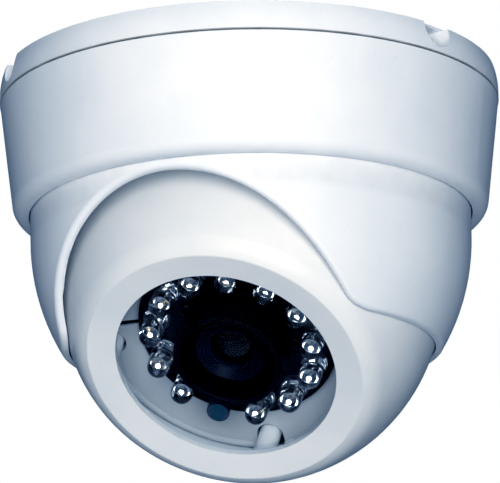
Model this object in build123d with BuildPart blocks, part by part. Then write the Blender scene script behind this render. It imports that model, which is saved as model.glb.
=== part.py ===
from build123d import *
import os
from math import cos, radians, sin, sqrt

# A ceiling dome camera: a round base, a twist-on cover, a turret that pans in the cover,
# and an eyeball that tilts in the turret and rolls about its own lens.
# Millimetres. +Z is up. The origin is the centre of the face that meets the ceiling,
# so the camera hangs below it, and it looks towards -Y and down.

os.makedirs("parts", exist_ok=True)

# ---- Driving dimensions ----
RUNNING_GAP = 0.05             # radial clearance of a pin or a screw in its hole
SLIP_GAP = 0.1                 # clearance between stacked faces that slide
GREASE_GAP = 0.02              # film between faces that a spring or a rubber ring holds together
THREAD_GAP = 0.02              # radial clearance of a thread, drawn as a plain shank
MERGE = 0.5                    # how far a boss starts inside the wall that carries it

# Cross-head screws: (head radius, head height, shank radius)
M25_SCREW = (2.1, 1.7, 1.25)
M2_PAN_SCREW = (1.8, 1.2, 1.0)
M2_SMALL_SCREW = (1.5, 1.0, 1.0)
M3_SCREW = (2.9, 2.2, 1.5)
CROWN_SHARE = 0.45             # of the head height, rounded at its top edge
CROSS_LENGTH_SHARE = 1.1       # of the head radius
CROSS_WIDTH_SHARE = 0.3
CROSS_DEPTH_SHARE = 0.55       # of the head height

# Base
BASE_RADIUS = 55.25            # widest, at the seam with the cover
BASE_EDGE_RADIUS = 54.5        # upper edge of the side wall
BASE_BULGE_RADIUS = 13.3       # slight curve of the side wall between the two
BASE_HEIGHT = 7.0
LAND_RADIUS = 52.2             # raised land that meets the ceiling
LAND_HEIGHT = 0.6
BASE_FLOOR_TOP = -3.5          # recess on the ceiling side
BASE_FLOOR_BOTTOM = -5.5
RECESS_RADIUS = 46.0
SPIGOT_INNER = 48.6
SPIGOT_OUTER = 50.2
SPIGOT_BOTTOM = -14.2
NOTCH_RADIUS = 4.0             # U-shaped cable exits under the land
NOTCH_DEPTH = 1.65             # of the round end's centre below the ceiling
NOTCH_ANGLES = (-21, 99, 219)  # from +X
CABLE_HOLE_RADIUS = 9.0
HUB_RADIUS = 11.0
HUB_SLOT_WIDTH = 4.0
RIB_COUNT = 12
RIB_THICKNESS = 1.4
RIB_TOP = -1.0
FIXING_RADIUS = 38.0           # ceiling screws, on a 76 mm circle
FIXING_ANGLES = (39, 159, 279)
FIXING_HOLE_RADIUS = 2.25
FIXING_PAD_RADIUS = 6.0
FIXING_SINK_RADIUS = 4.2
SEAM_CHAMFER = 0.2

# Bayonet between base and cover
BAYONET_ANGLES = (-90, 30, 150)
BAYONET_ARC = 24
LUG_OUTER = 52.3
LUG_TOP = -11.9
STOP_ARC = 3
HOOK_INNER = 50.4
HOOK_TOP = -9.5

# Cover
COVER_TOP = -7.1
COVER_TOP_RADIUS = 55.1
COVER_CORNER_RADIUS = 52.15
COVER_BOTTOM = -32.6
COVER_LIP_FILLET = 3.1
COVER_MOUTH_RADIUS = 48.9
COVER_INNER_TOP_RADIUS = 52.6
COVER_INNER_RADIUS = 50.6
COVER_CONE_TOP = -14.5
COVER_CONE_BOTTOM = -24.0
LEDGE_TOP = -29.6
SNAP_GROOVE_RADIUS = 51.4
SNAP_RING_THICKNESS = 1.2
SNAP_RING_INNER = 48.9
SNAP_RING_GAP = 16             # degrees of opening
FRICTION_RING_THICKNESS = 0.68

# Turret
TURRET_RADIUS = 48.5
TURRET_INNER = 46.6
TURRET_CENTRE = -37.8
TURRET_RIM = -62.8
TURRET_TOP = -22.0
FLANGE_RADIUS = 50.3
FLANGE_BOTTOM = -28.9
FLANGE_TOP = -26.6
ARCH_RADIUS = 33.8
ARCH_CENTRE = -68.3
ARCH_SHIFT = -1.3              # the arch stands a little to one side of the ball
ARCH_FLARE = 4.0
RIM_ROUNDING = 1.2
RIM_SPARE = 2.2                # turned below the rim, then cut away
PAN_STOP_ARC = 8
PAN_STOP_BOTTOM = -25.1
TURRET_STOP_OUTER = 50.0
COVER_STOP_INNER = 49.0

# Eyeball
REST_TILT = 51.5               # optical axis below the horizontal, at rest
BALL_DEPTH = 49.8              # ball centre below the ceiling
BALL_RADIUS = 41.8
BALL_INNER = 39.8
SOCKET_RADIUS = 42.15          # lip of the turret that seats the ball
SOCKET_TOP = -62.4
YOKE_ROOM_RADIUS = 44.2        # room in the turret wall for the yoke
YOKE_ROOM_BOTTOM = -54.5
BEZEL_RADIUS = 30.4            # edge of the dished face
BEZEL_ROUNDING = 0.6
BEZEL_SHOULDER_RADIUS = 34.0   # where the rounded shoulder leaves the ball
BEZEL_FACE = 27.05             # distances along the optical axis, from the ball's centre
BEZEL_INNER_FACE = 26.1
BEZEL_BACK = 24.6
BEZEL_LAND_RADIUS = 26.4       # flat behind the bezel that the window's flange is glued to
BEZEL_BACK_RADIUS = 30.6
WINDOW_BORE_RADIUS = 24.4
WINDOW_FRONT = 26.0
WINDOW_BACK = 24.8
WINDOW_SKIRT_RADIUS = 23.8
WINDOW_FLANGE_RADIUS = 26.0
WINDOW_FLANGE_THICKNESS = 0.7
WINDOW_CHAMFER = 0.15
GASKET_THICKNESS = 0.3
GASKET_INNER = 24.6
TONGUE_DEPTH = 2.0
TONGUE_RADIUS = 40.8
REAR_FLAT = -24.0
REAR_WALL = 2.0
POST_RING = 29.8               # four posts that hold the two shells together
POST_ANGLES = (0, 90, 180, 266)
POST_RADIUS = 2.4
POST_TUBE_WALL = 0.8
POST_FRONT = 25.6
SKIRT_INNER = 33.8             # wall inside the front shell, round the carrier
SKIRT_OUTER = 35.0
SKIRT_FRONT = 21.5
SKIRT_BACK = 11.0
POST_PILOT_DEPTH = 8.0
SHELL_SCREW_SEAT = -10.0
SHELL_SCREW_LENGTH = 16.0
PIVOT_BOSS_RADIUS = 5.0
CABLE_EXIT_RADIUS = 3.5
CABLE_EXIT_OFFSET = 16.0
GROMMET_LIP = 1.0
GROMMET_LIP_THICKNESS = 0.8
GROMMET_BORE_RADIUS = 2.0

# Yoke
YOKE_INNER = 42.4
YOKE_OUTER = 43.6
YOKE_WIDTH = 9.0
YOKE_BACK = -25.0
YOKE_END_ANGLE = 6
PIVOT_RADIUS = 3.0
PIVOT_TIP = 42.2
PIVOT_ROOT = 45.7
ROLL_SCREW_RADIUS = M3_SCREW[2]
ROLL_SCREW_LENGTH = 9.0
WASHER_RADIUS = 4.2
WASHER_THICKNESS = 0.8
NUT_RADIUS = 3.2               # across the corners
NUT_THICKNESS = 2.4

# Camera module
CARRIER_FRONT = 12.4
CARRIER_THICKNESS = 2.0
CARRIER_RADIUS = 33.3
CARRIER_BORE = 10.5
BEAD_RADIUS = 0.8              # raised round edge of the carrier
POST_NOTCH_GAP = 0.6
POST_NOTCH_REACH = 5.0
WIRE_SLIT_WIDTH = 1.2
WIRE_SLIT_LENGTH = 14.0
WIRE_SLIT_SPOT = (6.0, 4.7)    # in from the carrier's edge, and across
LEG_OFFSET = 13.4
LEG_RADIUS = 3.2
LEG_SINK = 1.9                 # how deep the screw heads stand in the carrier
LEG_SINK_RADIUS = 2.3
LEG_INSET = 0.1                # a leg's top stays this far below the carrier's face
LEG_SCREW_LENGTH = 23.0
LEG_PILOT_DEPTH = 10.0
BOARD_THICKNESS = 1.6
MAIN_BOARD_FRONT = -3.0
MAIN_BOARD_SIDE = 38.0
MAIN_BOARD_CORNER = 3.0
LED_BOARD_RADIUS = 22.2
LED_BOARD_BORE = 8.6
LED_RING_RADIUS = 18.0
RING_PLACES = 13               # twelve lamps and the light sensor
SENSOR_ANGLE = -117            # the light sensor's place on the ring
LED_RADIUS = 2.5
LED_HEIGHT = 8.6
LED_FLANGE_RADIUS = 2.9
LED_FLANGE_HEIGHT = 1.0
SENSOR_RADIUS = 2.55
SENSOR_THICKNESS = 2.0
SENSOR_FACE = 20.8
SENSOR_LEG_RADIUS = 0.3
SENSOR_LEG_OFFSET = 1.27
HOOD_OUTER = 12.0
HOOD_INNER = 10.3
HOOD_FRONT = 24.75
HOOD_FOOT_OUTER = 10.6         # narrow foot that clears the board's screws
HOOD_FOOT_INNER = 9.0
HOOD_FOOT_TOP = 15.6
HOOD_TAPER_TOP = 18.5
HOOD_ROUNDING = 0.5
LED_SCREW_RING = 12.4
LED_SCREW_ANGLES = (141, -20)
LED_SCREW_LENGTH = 5.0
LED_BOSS_RADIUS = 1.8
LED_BOSS_DROP = 3.0
RESISTOR_RING = 13.6
RESISTOR_ANGLES = (5, 45, 85, 185, 225, 265)
RESISTOR_SIZE = (2.0, 1.2, 0.55)
LENS_FRONT = 21.5
LENS_HEAD_RADIUS = 8.0
LENS_HEAD_BACK = 15.5
LENS_THREAD_RADIUS = 5.95
LENS_BACK = 1.0
LENS_BORE = 3.2
LENS_NOSE_ROUNDING = 0.35
REAR_LENS_RADIUS = 4.2
REAR_LENS_SEAT = 2.0
REAR_LENS_THICKNESS = 1.7
GLASS_RADIUS = 4.8
GLASS_EDGE = 18.6              # height of the seat's top, the rim and the crown stand above it
GLASS_SEAT_DEPTH = 1.5
SEAT_RIM = 1.0
DISH_STEP = (0.6, 1.2)         # where the dished face meets the seat: out from the glass, and up
GLASS_RIM = 0.3
GLASS_CROWN = 1.9
GLASS_HALFWAY = (2.4, 1.53)    # a point of the crown between its top and its rim
HOLDER_RADIUS = 8.0
HOLDER_SIDE = 18.0
HOLDER_CORNER = 1.5
HOLDER_POCKET = 13.0
HOLDER_ROOF = 1.2
HOLDER_TOP = 10.2
HOLDER_BASE_TOP = 0.5
HOLDER_SCREW_SPOTS = ((0, 10.5), (0, -10.5))
HOLDER_SCREW_BOSS = 2.4
HOLDER_SCREW_LENGTH = 4.0
LOCK_RING_THICKNESS = 1.6
LOCK_RING_NOTCHES = 8
LOCK_RING_NOTCH_RADIUS = 0.7

# Parts on the main board: (width, depth, height)
IMAGE_SENSOR_SIZE = (10.0, 9.0, 1.4)
IMAGE_AREA_SIZE = (5.4, 4.2, 0.3)
FILTER_SIZE = (8.4, 8.4, 0.7)
PROCESSOR_SIZE = (10.0, 10.0, 1.2)
PROCESSOR_CHAMFER = 0.3
CAPACITOR_SPOTS = ((-13, 0), (-13, 6))
CAPACITOR_RADIUS = 2.0
CAPACITOR_HEIGHT = 5.4
CONNECTOR_SPOT = 13.0
CONNECTOR_SIZE = (4.0, 10.0, 5.0)
CONNECTOR_WALL = 0.7
CONNECTOR_FLOOR = 1.0
PIN_SPOTS = (-3, -1, 1, 3)
PIN_SIDE = 0.5
PIN_LENGTH = 4.0

# ---- Planes and helpers ----
BALL_CENTRE = (0, 0, -BALL_DEPTH)
AXIS_DIRECTION = (0, -cos(radians(REST_TILT)), -sin(radians(REST_TILT)))
optical_axis = Axis(BALL_CENTRE, AXIS_DIRECTION)
ball_face = Plane(origin=BALL_CENTRE, x_dir=(1, 0, 0), z_dir=AXIS_DIRECTION)
ball_section = Plane(origin=BALL_CENTRE, x_dir=(1, 0, 0), z_dir=ball_face.y_dir * -1)


def radial_section(angle):
    """The half plane through the vertical axis at an angle from +X: local x outwards, local y up."""
    c, s = cos(radians(angle)), sin(radians(angle))
    return Plane(origin=(0, 0, 0), x_dir=(c, s, 0), z_dir=(s, -c, 0))


def radial_face(angle, distance):
    """The upright plane that faces outwards at an angle from +X, a distance from the axis."""
    c, s = cos(radians(angle)), sin(radians(angle))
    return Plane(origin=(distance * c, distance * s, 0), x_dir=(-s, c, 0), z_dir=(c, s, 0))


def on_circle(centre, radius, height):
    """Where a circle centred on the axis of revolution stands at a height: (radius, height)."""
    return (sqrt(radius ** 2 - (height - centre) ** 2), height)


def round_arc(centre, radius, start, end):
    """The arc of that circle between two heights."""
    heights = (start, (start + end) / 2, end)
    return ThreePointArc(*(on_circle(centre, radius, height) for height in heights))


def polar(radius, angle):
    return (radius * cos(radians(angle)), radius * sin(radians(angle)))


def rectangle_between(low, high):
    """A rectangle in the current sketch, given by two opposite corners."""
    with Locations(((low[0] + high[0]) / 2, (low[1] + high[1]) / 2)):
        return Rectangle(high[0] - low[0], high[1] - low[1])


def cross_screws(seat, spots, size, length):
    """Cross-head screws: heads stand on the seat plane and shanks go down through it."""
    head_radius, head_height, shank_radius = size
    cross = (head_radius * CROSS_LENGTH_SHARE, head_radius * CROSS_WIDTH_SHARE)
    with BuildPart() as screws:
        with BuildSketch(seat):
            with Locations(*spots):
                Circle(head_radius)
        extrude(amount=head_height)
        crowns = screws.edges().filter_by(GeomType.CIRCLE).group_by(Axis(seat.origin, seat.z_dir))[-1]
        fillet(crowns, head_height * CROWN_SHARE)
        with BuildSketch(seat):
            with Locations(*spots):
                Circle(shank_radius)
        extrude(amount=-length)
        with BuildSketch(seat.offset(head_height)):
            with Locations(*spots):
                Rectangle(*cross)
                Rectangle(*reversed(cross))
        extrude(amount=-head_height * CROSS_DEPTH_SHARE, mode=Mode.SUBTRACT)
    return screws


def facing_back(height):
    """The plane that faces along the optical axis to the rear, at a height on that axis."""
    return Plane(origin=ball_face.offset(height).origin, x_dir=(1, 0, 0), z_dir=ball_face.z_dir * -1)


# ---- Base: screwed to the ceiling ----
bulge_centre = BASE_RADIUS - BASE_BULGE_RADIUS
bulge_rise = sqrt(BASE_BULGE_RADIUS ** 2 - (BASE_EDGE_RADIUS - bulge_centre) ** 2)
bulge_start = -LAND_HEIGHT - bulge_rise
bulge_mid_radius = bulge_centre + sqrt(BASE_BULGE_RADIUS ** 2 - (bulge_rise / 2) ** 2)
bulge_mid = (bulge_mid_radius, bulge_start + bulge_rise / 2)

with BuildPart() as base_plate:
    with BuildSketch(Plane.XZ):
        with BuildLine():
            Polyline(
                (BASE_RADIUS, bulge_start),
                (BASE_RADIUS, -BASE_HEIGHT + SEAM_CHAMFER),
                (BASE_RADIUS - SEAM_CHAMFER, -BASE_HEIGHT),
                (SPIGOT_OUTER, -BASE_HEIGHT),
                (SPIGOT_OUTER, SPIGOT_BOTTOM),
                (SPIGOT_INNER, SPIGOT_BOTTOM),
                (SPIGOT_INNER, BASE_FLOOR_BOTTOM),
                (CABLE_HOLE_RADIUS, BASE_FLOOR_BOTTOM),
                (CABLE_HOLE_RADIUS, 0),
                (HUB_RADIUS, 0),
                (HUB_RADIUS, BASE_FLOOR_TOP),
                (RECESS_RADIUS, BASE_FLOOR_TOP),
                (RECESS_RADIUS, 0),
                (LAND_RADIUS, 0),
                (LAND_RADIUS, -LAND_HEIGHT),
                (BASE_EDGE_RADIUS, -LAND_HEIGHT),
            )
            ThreePointArc((BASE_EDGE_RADIUS, -LAND_HEIGHT), bulge_mid, (BASE_RADIUS, bulge_start))
        make_face()
    revolve(axis=Axis.Z)
    # Stiffening ribs on the ceiling side
    with BuildSketch(Plane.XY.offset(BASE_FLOOR_TOP)):
        with PolarLocations((HUB_RADIUS + RECESS_RADIUS) / 2, RIB_COUNT, start_angle=FIXING_ANGLES[0]):
            Rectangle(RECESS_RADIUS - HUB_RADIUS + 1, RIB_THICKNESS)
    extrude(amount=RIB_TOP - BASE_FLOOR_TOP)
    # Pads for the ceiling screws, sunk on the underside
    with BuildSketch(Plane.XY.offset(BASE_FLOOR_BOTTOM)):
        with Locations(*(polar(FIXING_RADIUS, angle) for angle in FIXING_ANGLES)):
            Circle(FIXING_PAD_RADIUS)
    extrude(amount=-BASE_FLOOR_BOTTOM)
    underside = Plane(origin=(0, 0, BASE_FLOOR_BOTTOM), x_dir=(1, 0, 0), z_dir=(0, 0, -1))
    with Locations(underside):
        with Locations(*(polar(FIXING_RADIUS, -angle) for angle in FIXING_ANGLES)):
            CounterSinkHole(FIXING_HOLE_RADIUS, FIXING_SINK_RADIUS)
    # Cable exits: a notch in the rim and a slot in the hub, in line with each other
    for angle in NOTCH_ANGLES:
        with BuildSketch(radial_face(angle, RECESS_RADIUS - 2)):
            with Locations((0, -NOTCH_DEPTH)):
                Circle(NOTCH_RADIUS)
            rectangle_between((-NOTCH_RADIUS, -NOTCH_DEPTH), (NOTCH_RADIUS, 0))
            with Locations((0, NOTCH_RADIUS / 2 - LAND_HEIGHT)):
                Rectangle(2 * NOTCH_RADIUS, NOTCH_RADIUS, mode=Mode.SUBTRACT)
        extrude(amount=BASE_RADIUS - RECESS_RADIUS + 4, mode=Mode.SUBTRACT)
        with BuildSketch(radial_face(angle, CABLE_HOLE_RADIUS - 2)):
            Rectangle(HUB_SLOT_WIDTH, -2 * BASE_FLOOR_TOP)
        extrude(amount=HUB_RADIUS - CABLE_HOLE_RADIUS + 3, mode=Mode.SUBTRACT)
    # Bayonet lugs, each with a stop at one end
    for angle in BAYONET_ANGLES:
        with BuildSketch(radial_section(angle)):
            rectangle_between((SPIGOT_OUTER - MERGE, SPIGOT_BOTTOM), (LUG_OUTER, LUG_TOP))
        revolve(axis=Axis.Z, revolution_arc=BAYONET_ARC)
        with BuildSketch(radial_section(angle + BAYONET_ARC)):
            rectangle_between((SPIGOT_OUTER - MERGE, SPIGOT_BOTTOM), (LUG_OUTER, HOOK_TOP))
        revolve(axis=Axis.Z, revolution_arc=STOP_ARC)
base_plate.part.label = "base_plate"
export_step(base_plate.part, "parts/base_plate.step")

# ---- Cover: twists onto the base and carries the turret ----
snap_ring_bottom = FLANGE_TOP + SLIP_GAP
snap_ring_top = snap_ring_bottom + SNAP_RING_THICKNESS
with BuildPart() as cover_collar:
    with BuildSketch(Plane.XZ) as cover_profile:
        with BuildLine():
            Polyline(
                (COVER_TOP_RADIUS - SEAM_CHAMFER, COVER_TOP),
                (COVER_TOP_RADIUS, COVER_TOP - SEAM_CHAMFER),
                (COVER_CORNER_RADIUS, COVER_BOTTOM),
                (COVER_MOUTH_RADIUS, COVER_BOTTOM),
                (COVER_MOUTH_RADIUS, LEDGE_TOP),
                (COVER_INNER_RADIUS, LEDGE_TOP),
                (COVER_INNER_RADIUS, snap_ring_bottom),
                (SNAP_GROOVE_RADIUS, snap_ring_bottom),
                (SNAP_GROOVE_RADIUS, snap_ring_top),
                (COVER_INNER_RADIUS, snap_ring_top),
                (COVER_INNER_RADIUS, COVER_CONE_BOTTOM),
                (COVER_INNER_TOP_RADIUS, COVER_CONE_TOP),
                (COVER_INNER_TOP_RADIUS, COVER_TOP),
                close=True,
            )
        make_face()
        corner = cover_profile.vertices().sort_by_distance((COVER_CORNER_RADIUS, COVER_BOTTOM, 0))[0]
        fillet(corner, COVER_LIP_FILLET)
    revolve(axis=Axis.Z)
    # Hooks that sit on the base's lugs
    for angle in BAYONET_ANGLES:
        with BuildSketch(radial_section(angle)):
            rectangle_between((HOOK_INNER, LUG_TOP + SLIP_GAP), (COVER_INNER_TOP_RADIUS + MERGE, HOOK_TOP))
        revolve(axis=Axis.Z, revolution_arc=BAYONET_ARC - 1)
    # Rib that stops the turret just short of a full turn
    with BuildSketch(radial_section(-90 - PAN_STOP_ARC / 2)):
        rectangle_between((COVER_STOP_INNER, PAN_STOP_BOTTOM), (COVER_INNER_RADIUS + MERGE, TURRET_TOP))
    revolve(axis=Axis.Z, revolution_arc=PAN_STOP_ARC)
cover_collar.part.label = "cover_collar"
export_step(cover_collar.part, "parts/cover_collar.step")

with BuildPart() as pan_friction_ring:
    with BuildSketch(Plane.XY.offset(LEDGE_TOP)):
        Circle(FLANGE_RADIUS)
        Circle(COVER_MOUTH_RADIUS + SLIP_GAP, mode=Mode.SUBTRACT)
    extrude(amount=FRICTION_RING_THICKNESS)
pan_friction_ring.part.label = "pan_friction_ring"
export_step(pan_friction_ring.part, "parts/pan_friction_ring.step")

with BuildPart() as turret_snap_ring:
    with BuildSketch(radial_section(90 + SNAP_RING_GAP / 2)):
        rectangle_between((SNAP_RING_INNER, snap_ring_bottom), (SNAP_GROOVE_RADIUS, snap_ring_top))
    revolve(axis=Axis.Z, revolution_arc=360 - SNAP_RING_GAP)
turret_snap_ring.part.label = "turret_snap_ring"
export_step(turret_snap_ring.part, "parts/turret_snap_ring.step")


# ---- Turret: pans in the cover ----
def on_turret_skin(edge):
    """True for an edge of the opening that lies on the turret's outer surface."""
    points = [edge @ step for step in (0.05, 0.5, 0.95)]
    if all(abs(point.Z - TURRET_CENTRE) < 0.01 for point in points):
        return False
    for point in points:
        drop = min(point.Z - TURRET_CENTRE, 0)
        reach = sqrt(point.X ** 2 + point.Y ** 2 + drop ** 2)
        if abs(reach - TURRET_RADIUS) > 0.01 or point.Z > COVER_BOTTOM - 1:
            return False
    return True


yoke_room_meets_wall = (
    (TURRET_INNER ** 2 - YOKE_ROOM_RADIUS ** 2 - TURRET_CENTRE ** 2 + BALL_DEPTH ** 2)
    / (-2 * (TURRET_CENTRE + BALL_DEPTH))
)
half_arch = sqrt(ARCH_RADIUS ** 2 - (TURRET_RIM - ARCH_CENTRE) ** 2)
arch_feet = ((ARCH_SHIFT - half_arch, TURRET_RIM), (ARCH_SHIFT + half_arch, TURRET_RIM))
opening_reach = TURRET_RADIUS + 5
# What is cut away from the turret: all below its rim, and an arch in front that flares into the rim
with BuildPart() as opening:
    with BuildSketch(Plane.XZ) as arch:
        with BuildLine():
            ThreePointArc(arch_feet[0], (ARCH_SHIFT, ARCH_CENTRE + ARCH_RADIUS), arch_feet[1])
            Polyline(
                arch_feet[1],
                (opening_reach, TURRET_RIM),
                (opening_reach, TURRET_RIM - RIM_SPARE * 2),
                (-opening_reach, TURRET_RIM - RIM_SPARE * 2),
                (-opening_reach, TURRET_RIM),
                arch_feet[0],
            )
        make_face()
        fillet([arch.vertices().sort_by_distance((*foot, 0))[0] for foot in arch_feet], ARCH_FLARE)
    extrude(amount=opening_reach)
    with BuildSketch(Plane.XY.offset(TURRET_RIM)):
        Rectangle(2 * opening_reach, 2 * opening_reach)
    extrude(amount=-RIM_SPARE * 2)

below_rim = TURRET_RIM - RIM_SPARE
with BuildPart() as turret_dome:
    with BuildSketch(Plane.XZ):
        with BuildLine():
            Polyline(
                (TURRET_RADIUS, TURRET_CENTRE),
                (TURRET_RADIUS, FLANGE_BOTTOM),
                (FLANGE_RADIUS, FLANGE_BOTTOM),
                (FLANGE_RADIUS, FLANGE_TOP),
                (TURRET_RADIUS, FLANGE_TOP),
                (TURRET_RADIUS, TURRET_TOP),
                (TURRET_INNER, TURRET_TOP),
                (TURRET_INNER, TURRET_CENTRE),
            )
            round_arc(TURRET_CENTRE, TURRET_INNER, TURRET_CENTRE, yoke_room_meets_wall)
            round_arc(-BALL_DEPTH, YOKE_ROOM_RADIUS, yoke_room_meets_wall, YOKE_ROOM_BOTTOM)
            Line(
                on_circle(-BALL_DEPTH, YOKE_ROOM_RADIUS, YOKE_ROOM_BOTTOM),
                on_circle(-BALL_DEPTH, SOCKET_RADIUS, SOCKET_TOP),
            )
            round_arc(-BALL_DEPTH, SOCKET_RADIUS, SOCKET_TOP, below_rim)
            Line(
                on_circle(-BALL_DEPTH, SOCKET_RADIUS, below_rim),
                on_circle(TURRET_CENTRE, TURRET_RADIUS, below_rim),
            )
            round_arc(TURRET_CENTRE, TURRET_RADIUS, below_rim, TURRET_CENTRE)
        make_face()
    revolve(axis=Axis.Z)
    add(opening.part, mode=Mode.SUBTRACT)
    fillet(turret_dome.edges().filter_by(on_turret_skin), RIM_ROUNDING)
    # Pins that the yoke turns on
    for side in (1, -1):
        pin_tip = Plane(origin=(side * PIVOT_TIP, 0, -BALL_DEPTH), x_dir=(0, 1, 0), z_dir=(side, 0, 0))
        with BuildSketch(pin_tip):
            Circle(PIVOT_RADIUS)
        extrude(amount=PIVOT_ROOT - PIVOT_TIP)
    # Tab that meets the cover's stop rib
    with BuildSketch(radial_section(90 - PAN_STOP_ARC / 2)):
        rectangle_between((TURRET_RADIUS - MERGE, PAN_STOP_BOTTOM), (TURRET_STOP_OUTER, TURRET_TOP))
    revolve(axis=Axis.Z, revolution_arc=PAN_STOP_ARC)
turret_dome.part.label = "turret_dome"
export_step(turret_dome.part, "parts/turret_dome.step")

# ---- Yoke: tilts in the turret and carries the ball on one screw ----
yoke_end = [polar(radius, YOKE_END_ANGLE) for radius in (YOKE_OUTER, YOKE_INNER)]
yoke_back = YOKE_BACK - (YOKE_OUTER - YOKE_INNER)
outer_knee = on_circle(0, YOKE_OUTER, yoke_back)
inner_knee = on_circle(0, YOKE_INNER, YOKE_BACK)
with BuildPart() as tilt_yoke:
    with BuildSketch(ball_section):
        with BuildLine():
            Line((0, yoke_back), outer_knee)
            ThreePointArc(outer_knee, on_circle(0, YOKE_OUTER, -10), yoke_end[0])
            Line(yoke_end[0], yoke_end[1])
            ThreePointArc(yoke_end[1], on_circle(0, YOKE_INNER, -10), inner_knee)
            Polyline(inner_knee, (0, YOKE_BACK), (0, yoke_back))
        make_face()
        mirror(about=Plane.YZ)
    extrude(amount=YOKE_WIDTH / 2, both=True)
    corners = tilt_yoke.edges().filter_by(
        lambda e: e.length < 2 and (e @ 0.5 - Vector(*BALL_CENTRE)).dot(Vector(*AXIS_DIRECTION)) > 3
        and abs(abs((e @ 0.5 - Vector(*BALL_CENTRE)).dot(ball_face.y_dir)) - YOKE_WIDTH / 2) < 0.01
    )
    fillet(corners, YOKE_WIDTH / 2 - 0.2)
    with BuildSketch(Plane(origin=(0, 0, -BALL_DEPTH), x_dir=(0, 1, 0), z_dir=(1, 0, 0))):
        Circle(PIVOT_RADIUS + RUNNING_GAP)
    extrude(amount=BALL_RADIUS + 5, both=True, mode=Mode.SUBTRACT)
    with BuildSketch(ball_face.offset(YOKE_BACK)):
        Circle(ROLL_SCREW_RADIUS + RUNNING_GAP)
    extrude(amount=-5, mode=Mode.SUBTRACT)
tilt_yoke.part.label = "tilt_yoke"
export_step(tilt_yoke.part, "parts/tilt_yoke.step")

washer_seat = REAR_FLAT + REAR_WALL + GREASE_GAP
with BuildPart() as roll_spring_washer:
    with BuildSketch(ball_face.offset(washer_seat)):
        Circle(WASHER_RADIUS)
        Circle(ROLL_SCREW_RADIUS + RUNNING_GAP, mode=Mode.SUBTRACT)
    extrude(amount=WASHER_THICKNESS)
roll_spring_washer.part.label = "roll_spring_washer"
export_step(roll_spring_washer.part, "parts/roll_spring_washer.step")

roll_screw_seat = ball_face.offset(washer_seat + WASHER_THICKNESS)
roll_pivot_screw = cross_screws(roll_screw_seat, [(0, 0)], M3_SCREW, ROLL_SCREW_LENGTH)
roll_pivot_screw.part.label = "roll_pivot_screw"
export_step(roll_pivot_screw.part, "parts/roll_pivot_screw.step")

with BuildPart() as roll_pivot_nut:
    with BuildSketch(ball_face.offset(yoke_back)):
        RegularPolygon(NUT_RADIUS, 6)
        Circle(ROLL_SCREW_RADIUS + THREAD_GAP, mode=Mode.SUBTRACT)
    extrude(amount=-NUT_THICKNESS)
roll_pivot_nut.part.label = "roll_pivot_nut"
export_step(roll_pivot_nut.part, "parts/roll_pivot_nut.step")

# ---- Ball shells ----
post_spots = [polar(POST_RING, angle) for angle in POST_ANGLES]
shoulder_height = sqrt(BALL_RADIUS ** 2 - BEZEL_SHOULDER_RADIUS ** 2)
with BuildPart() as ball_front_shell:
    with BuildSketch(ball_section):
        with BuildLine():
            round_arc(0, BALL_RADIUS, SEAM_CHAMFER, shoulder_height)
            TangentArc(
                (BEZEL_SHOULDER_RADIUS, shoulder_height),
                (BEZEL_RADIUS, BEZEL_FACE),
                tangent=(-shoulder_height, BEZEL_SHOULDER_RADIUS),
            )
            Polyline(
                (BEZEL_RADIUS, BEZEL_FACE),
                (WINDOW_BORE_RADIUS, BEZEL_INNER_FACE),
                (WINDOW_BORE_RADIUS, BEZEL_BACK),
                (BEZEL_LAND_RADIUS, BEZEL_BACK),
                (BEZEL_BACK_RADIUS, sqrt(BALL_INNER ** 2 - BEZEL_BACK_RADIUS ** 2)),
            )
            round_arc(0, BALL_INNER, sqrt(BALL_INNER ** 2 - BEZEL_BACK_RADIUS ** 2), TONGUE_DEPTH)
            Polyline(
                on_circle(0, BALL_INNER, TONGUE_DEPTH),
                (TONGUE_RADIUS, TONGUE_DEPTH),
                (TONGUE_RADIUS, SLIP_GAP / 2),
                (BALL_RADIUS - SEAM_CHAMFER, SLIP_GAP / 2),
                on_circle(0, BALL_RADIUS, SEAM_CHAMFER),
            )
        make_face()
    revolve(axis=optical_axis)
    with BuildSketch(ball_section):
        rectangle_between((SKIRT_INNER, SKIRT_BACK), (SKIRT_OUTER, SKIRT_FRONT))
    revolve(axis=optical_axis)
    with BuildSketch(ball_face.offset(SLIP_GAP / 2)):
        with Locations(*post_spots):
            Circle(POST_RADIUS)
    extrude(amount=POST_FRONT - SLIP_GAP / 2)
    with BuildSketch(ball_face):
        with Locations(*post_spots):
            Circle(M25_SCREW[2] + THREAD_GAP)
    extrude(amount=POST_PILOT_DEPTH, mode=Mode.SUBTRACT)
    bezel_edge = ball_front_shell.edges().filter_by(GeomType.CIRCLE).filter_by(
        lambda e: abs(e.radius - BEZEL_RADIUS) < 0.05
    )
    fillet(bezel_edge, BEZEL_ROUNDING)
ball_front_shell.part.label = "ball_front_shell"
export_step(ball_front_shell.part, "parts/ball_front_shell.step")

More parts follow.
